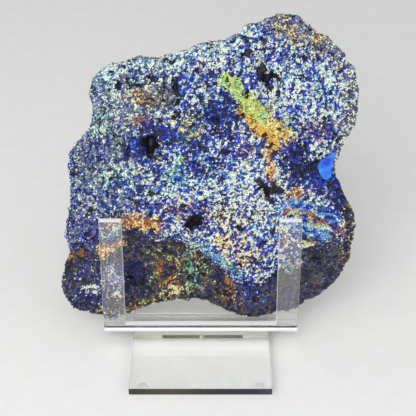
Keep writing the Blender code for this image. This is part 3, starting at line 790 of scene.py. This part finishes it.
def acrylicMaterial(name, tint, roughness, clearness, ior=1.49):
    made, tree, shader = newMaterial(name)
    shader.inputs["Base Color"].default_value = fromScreen(*tint)
    shader.inputs["IOR"].default_value = ior
    shader.inputs["Transmission Weight"].default_value = clearness
    coords = addNode(tree, "ShaderNodeTexCoord")
    stretched = addNode(tree, "ShaderNodeMapping")
    stretched.inputs["Scale"].default_value = rubbed["fine"]
    stretched.inputs["Rotation"].default_value = rubbed["turn"]
    tree.links.new(coords.outputs["Object"], stretched.inputs["Vector"])
    scratches = addNode(tree, "ShaderNodeTexNoise", "rubbed marks")
    scratches.inputs["Scale"].default_value = 1.0
    scratches.inputs["Detail"].default_value = 6.0
    tree.links.new(stretched.outputs["Vector"], scratches.inputs["Vector"])
    polish = addNode(tree, "ShaderNodeMapRange")
    polish.inputs["From Min"].default_value = rubbed["shows"][0]
    polish.inputs["From Max"].default_value = rubbed["shows"][1]
    polish.inputs["To Min"].default_value = roughness[0]
    polish.inputs["To Max"].default_value = roughness[1]
    tree.links.new(scratches.outputs["Fac"], polish.inputs["Value"])
    tree.links.new(polish.outputs["Result"], shader.inputs["Roughness"])
    return made


def finishSheet(piece, edge):
    soft = piece.modifiers.new("soft edges", "BEVEL")
    soft.width = edge * mm
    soft.segments = 2
    soft.limit_method = "ANGLE"
    soft.angle_limit = math.radians(40)
    flat = piece.modifiers.new("flat faces", "WEIGHTED_NORMAL")
    flat.keep_sharp = False
    piece.data.shade_smooth()


def makeCradle(clear, sawnEdgeAndHighlight, paintedBendHighlight):
    left = stand["middle"] - stand["width"] / 2
    widths = (stand["arm"], stand["width"] - 2 * stand["arm"], stand["arm"])
    bm = bmesh.new()
    row = [bm.verts.new((left, y, z)) for y, z in stand["line"]]
    edges = [bm.edges.new(pair) for pair in zip(row, row[1:])]
    for width in widths:
        swept = bmesh.ops.extrude_edge_only(bm, edges=edges)["geom"]
        edges = [g for g in swept if isinstance(g, bmesh.types.BMEdge)]
        moved = [g for g in swept if isinstance(g, bmesh.types.BMVert)]
        bmesh.ops.translate(bm, verts=moved, vec=(width, 0, 0))
    lipTop = stand["line"][1][1]
    between = [
        f for f in bm.faces
        if f.calc_center_median().z > lipTop and f.calc_center_median().y < 0
        and abs(f.calc_center_median().x - stand["middle"]) < stand["arm"]
    ]
    bmesh.ops.delete(bm, geom=between, context="FACES")
    folds = [
        e for e in bm.edges
        if len(e.link_faces) == 2 and abs(e.verts[0].co.z - e.verts[1].co.z) < 0.01
        and e.calc_face_angle() > math.radians(20)
    ]
    bmesh.ops.bevel(
        bm, geom=folds, offset=stand["bendRadius"], segments=stand["bendSteps"],
        profile=0.5, affect="EDGES", material=-1,
    )
    bendY, bendZ = stand["line"][2]
    # the faces of the front bend take the third finish, a near-opaque white that is a painted highlight
    for face in bm.faces:
        middle = face.calc_center_median()
        if middle.z < bendZ + stand["bendRadius"] and middle.y < bendY + stand["bendRadius"]:
            face.material_index = 2
    top = max(v.co.z for v in bm.verts)
    right = left + stand["width"]
    corners = [v for v in bm.verts if v.co.z > top - 0.01 and not left + 0.01 <= v.co.x <= right - 0.01]
    bmesh.ops.bevel(
        bm, geom=corners, offset=stand["panelCorner"], segments=8,
        profile=0.5, affect="VERTICES", material=-1,
    )
    bmesh.ops.scale(bm, verts=bm.verts, vec=(mm, mm, mm))
    cradle = linkObject("cradleSheet", meshFrom("cradleSheet", bm), clear, sawnEdgeAndHighlight, paintedBendHighlight, sawnEdgeAndHighlight)
    thick = cradle.modifiers.new("sheet", "SOLIDIFY")
    thick.thickness = stand["sheet"] * mm
    thick.offset = 0.0
    thick.use_even_offset = True
    thick.material_offset_rim = 1
    finishSheet(cradle, stand["edge"])
    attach(cradle, "root")
    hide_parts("cradle")


plate = {
    "width": 76.0,
    "depth": 102.5,
    "under": 1.5,
    "thick": 4.0,
    "seatFront": -8.45,
    "seatFlat": -4.25,
    "seatRear": 5.25,
    "seatHigh": 7.746,
    "seatLow": 6.071,
    "edge": 0.3,
    "edgeRoughness": 0.12,
}

# Painted reflections in the plate's two front faces along their length, for the floor and the slab's
# dark foot seen in them: mm from its middle, and screen colour.
paintedEdgeReflections = {
    "front": [
        (-37, (34, 36, 26)), (-16, (62, 58, 34)), (2, (36, 36, 28)),
        (14, (18, 20, 38)), (30, (26, 28, 50)), (37, (50, 52, 56)),
    ],
    "seat": [
        (-37, (150, 154, 132)), (-22, (176, 178, 160)), (-21, (76, 78, 56)), (-1, (92, 92, 70)),
        (0, (180, 180, 172)), (2, (96, 98, 84)), (23, (72, 74, 66)), (24, (176, 178, 172)),
        (37, (160, 162, 156)),
    ],
}


def paintedReflectionMaterial(name, tones):
    # the plate's polished edge, with the floor and the slab's dark foot painted into it as a reflection
    made, tree, shader = newMaterial(name)
    coords = addNode(tree, "ShaderNodeTexCoord")
    parts = addNode(tree, "ShaderNodeSeparateXYZ")
    tree.links.new(coords.outputs["Object"], parts.inputs["Vector"])
    across = addNode(tree, "ShaderNodeMapRange", "from end to end")
    across.inputs["From Min"].default_value = (stand["middle"] - plate["width"] / 2) * mm
    across.inputs["From Max"].default_value = (stand["middle"] + plate["width"] / 2) * mm
    tree.links.new(parts.outputs["X"], across.inputs["Value"])
    ramp = addNode(tree, "ShaderNodeValToRGB")
    stops = ramp.color_ramp.elements
    while len(stops) < len(tones):
        stops.new(0.5)
    for stop, (place, tone) in zip(stops, tones):
        stop.position = place / plate["width"] + 0.5
    # the stops sort themselves while they move, so the colours come after
    for stop, (place, tone) in zip(stops, tones):
        stop.color = fromScreen(*tone)
    tree.links.new(across.outputs["Result"], ramp.inputs["Fac"])
    tree.links.new(ramp.outputs["Color"], shader.inputs["Base Color"])
    shader.inputs["Roughness"].default_value = plate["edgeRoughness"]
    return made


def makeBasePlate(clear, frontEdgeReflection, seatEdgeReflection):
    front = -plate["depth"] / 2
    rear = plate["depth"] / 2
    top = plate["under"] + plate["thick"]
    side = [
        (front, plate["under"]), (rear, plate["under"]), (rear, top), (plate["seatRear"], top),
        (plate["seatRear"], plate["seatLow"]), (plate["seatFlat"], plate["seatHigh"]),
        (plate["seatFront"], plate["seatHigh"]), (plate["seatFront"], top), (front, top),
    ]
    bm = bmesh.new()
    left = stand["middle"] - plate["width"] / 2
    face = bm.faces.new([bm.verts.new((left, y, z)) for y, z in side])
    swept = bmesh.ops.extrude_face_region(bm, geom=[face])["geom"]
    far = [g for g in swept if isinstance(g, bmesh.types.BMVert)]
    bmesh.ops.translate(bm, verts=far, vec=(plate["width"], 0, 0))
    bmesh.ops.recalc_face_normals(bm, faces=bm.faces)
    # the two front faces take the painted reflections
    for face in bm.faces:
        if face.normal.y < -0.5:
            face.material_index = 1 if face.calc_center_median().y < front + 1 else 2
    bmesh.ops.scale(bm, verts=bm.verts, vec=(mm, mm, mm))
    piece = linkObject("basePlate", meshFrom("basePlate", bm), clear, frontEdgeReflection, seatEdgeReflection)
    finishSheet(piece, plate["edge"])
    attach(piece, "root")
    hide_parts("base_plate")


bumper = {"high": 1.2, "radius": 2.8, "foot": 2.4, "footSoft": 0.5, "round": 0.2, "steps": 36}


def makeBumpers():
    gel = acrylicMaterial("clear soft bumper", (255, 255, 252), (0.12, 0.3), 0.2, 1.36)
    profile = [
        (0, 0), (bumper["foot"] - bumper["footSoft"], 0), (bumper["foot"], bumper["round"]),
        (bumper["radius"], bumper["high"] - bumper["round"]),
        (bumper["radius"] - bumper["round"], bumper["high"]), (0, bumper["high"]),
    ]
    for node in sorted(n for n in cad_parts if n.startswith("bumper")):
        low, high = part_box(node)
        middle = (low + high) / 2
        bm = bmesh.new()
        row = [bm.verts.new((x, 0, z)) for x, z in profile]
        line = [bm.edges.new(pair) for pair in zip(row, row[1:])]
        bmesh.ops.spin(
            bm, geom=row + line, cent=(0, 0, 0), axis=(0, 0, 1), angle=math.tau,
            steps=bumper["steps"], use_merge=True,
        )
        bmesh.ops.remove_doubles(bm, verts=bm.verts, dist=0.001)
        bmesh.ops.scale(bm, verts=bm.verts, vec=(mm, mm, mm))
        bmesh.ops.translate(bm, verts=bm.verts, vec=(middle.x, middle.y, low.z))
        piece = linkObject(node + "_gel", meshFrom(node, bm), gel)
        piece.data.shade_smooth()
        piece.data.set_sharp_from_angle(angle=math.radians(50))
        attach(piece, "root")
        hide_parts(node)


floorLook = {
    "reach": 3.0,
    "tones": ((238, 238, 234), (246, 246, 243)),
    "mottle": 90.0,
    "roughness": 0.55,
}


def makeStage():
    bm = bmesh.new()
    bmesh.ops.create_grid(bm, x_segments=1, y_segments=1, size=floorLook["reach"])
    floor = linkObject("floor", meshFrom("floor", bm))
    made, tree, shader = newMaterial("pale floor")
    coords = addNode(tree, "ShaderNodeTexCoord")
    fine = addNode(tree, "ShaderNodeTexNoise")
    fine.inputs["Scale"].default_value = floorLook["mottle"]
    fine.inputs["Detail"].default_value = 6.0
    tree.links.new(coords.outputs["Object"], fine.inputs["Vector"])
    tone = mixColours(tree, fine.outputs["Fac"], *(fromScreen(*t) for t in floorLook["tones"]))
    tree.links.new(tone, shader.inputs["Base Color"])
    shader.inputs["Roughness"].default_value = floorLook["roughness"]
    floor.data.materials.append(made)


lights = {
    "key": {"place": (-0.3, -1.1, 0.8), "size": 1.0, "power": 13.0},
}
skyLight = {
    "tint": (0.96, 0.98, 1.0, 1.0),
    "low": 0.2,
    "high": 0.86,
    "toFront": 0.6,        # how much the light leans to the front
}


def makeLights():
    target = Vector((0, 0, 0.08))
    for name, settings in lights.items():
        data = bpy.data.lights.new(name, "AREA")
        data.energy = settings["power"]
        data.size = settings["size"]
        lamp = bpy.data.objects.new(name, data)
        bpy.context.scene.collection.objects.link(lamp)
        lamp.location = settings["place"]
        lamp.rotation_euler = (target - lamp.location).to_track_quat("-Z", "Y").to_euler()
    world = bpy.data.worlds.new("studio")
    world.use_nodes = True
    tree = world.node_tree
    sky = tree.nodes["Background"]
    sky.inputs["Color"].default_value = skyLight["tint"]
    toward = addNode(tree, "ShaderNodeTexCoord")
    parts = addNode(tree, "ShaderNodeSeparateXYZ")
    tree.links.new(toward.outputs["Generated"], parts.inputs["Vector"])
    height = addNode(tree, "ShaderNodeMapRange", "brighter overhead")
    height.inputs["To Min"].default_value = skyLight["low"]
    height.inputs["To Max"].default_value = skyLight["high"]
    tree.links.new(parts.outputs["Z"], height.inputs["Value"])
    lean = mathNode(tree, "MULTIPLY_ADD", parts.outputs["Y"], -skyLight["toFront"])
    lean.node.inputs[2].default_value = 1.0
    tree.links.new(mathNode(tree, "MULTIPLY", height.outputs["Result"], lean), sky.inputs["Strength"])
    bpy.context.scene.world = world


# The photograph's view: 416 pixels across, 1150 pixels of focal length, looking 32 degrees down.
view = {
    "place": (0.0003, -0.51575, 0.4085),
    "down": 32.0,
    "focal": 1150.0,
    "frame": 416.0,
    "sensor": 36.0,
}


def makeCamera():
    data = bpy.data.cameras.new("camera")
    data.sensor_width = view["sensor"]
    data.lens = view["focal"] / view["frame"] * view["sensor"]
    data.clip_start = 0.01
    camera = bpy.data.objects.new("camera", data)
    camera.location = view["place"]
    camera.rotation_euler = (math.radians(90 - view["down"]), 0, 0)
    bpy.context.scene.collection.objects.link(camera)
    bpy.context.scene.camera = camera


makeCamera()
makeLights()
makeStage()
print("stage ready")

crustMesh = makeCrust()
slab = linkObject("slabCrust", crustMesh, crustMaterial())
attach(slab, "root")
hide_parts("slab")
print("crust ready,", len(crustMesh.polygons), "faces")
makeGrains(crustMesh)
makeChip(crustMesh)
print("grains ready")

clear = acrylicMaterial("clear acrylic", (255, 255, 254), (0.0, 0.02), 0.96)
plateClear = acrylicMaterial("clear plate", (255, 255, 254), (0.0, 0.02), 1.0)
# the sawn edges are frosted, and made near-opaque white as a painted highlight for the light they catch
sawnEdgeAndHighlight = acrylicMaterial("sawn acrylic edge and painted highlight", (255, 255, 255), (0.3, 0.5), 0.1)
# painted highlight: the bend is made near-opaque white, for the light that the curved bend catches
paintedBendHighlight = acrylicMaterial("bend with painted highlight", (255, 255, 254), (0.08, 0.2), 0.15)
makeCradle(clear, sawnEdgeAndHighlight, paintedBendHighlight)
frontEdgeReflection = paintedReflectionMaterial("front edge painted reflection", paintedEdgeReflections["front"])
seatEdgeReflection = paintedReflectionMaterial("seat edge painted reflection", paintedEdgeReflections["seat"])
makeBasePlate(plateClear, frontEdgeReflection, seatEdgeReflection)
makeBumpers()
print("stand ready")
